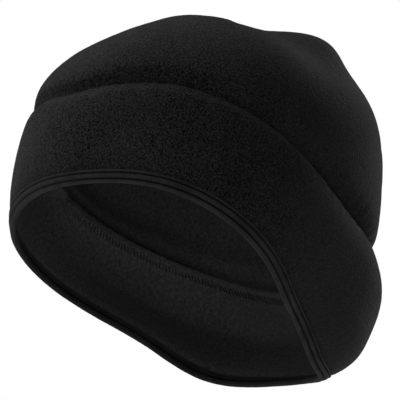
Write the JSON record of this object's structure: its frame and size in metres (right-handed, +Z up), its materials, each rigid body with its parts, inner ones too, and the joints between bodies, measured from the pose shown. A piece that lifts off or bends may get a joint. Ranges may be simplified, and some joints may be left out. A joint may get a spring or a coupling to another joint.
{
  "type": "winter cap",
  "caption": "Close-fitting fleece winter cap with a deep sewn-on ear band that drops over the ears and nape, and a bound rim.",
  "frame": {"origin": "inside of the crown's top, on the cap's middle plane, where the top of a head meets it", "axes": "+X to the wearer's left, -Y towards the brow, +Y towards the nape, +Z up along the worn cap"},
  "size_m": [0.199, 0.202, 0.195],
  "materials": {
    "fleece": "matt black pebbled fleece with a soft grey sheen at the edges",
    "binding": "smooth black stretch knit tape, a little lighter than the fleece",
    "thread": "black sewing thread"
  },
  "bodies": {
    "root": {"crown": "fleece", "ear_band": "fleece", "edge_binding": "binding"}
  },
  "joints": []
}
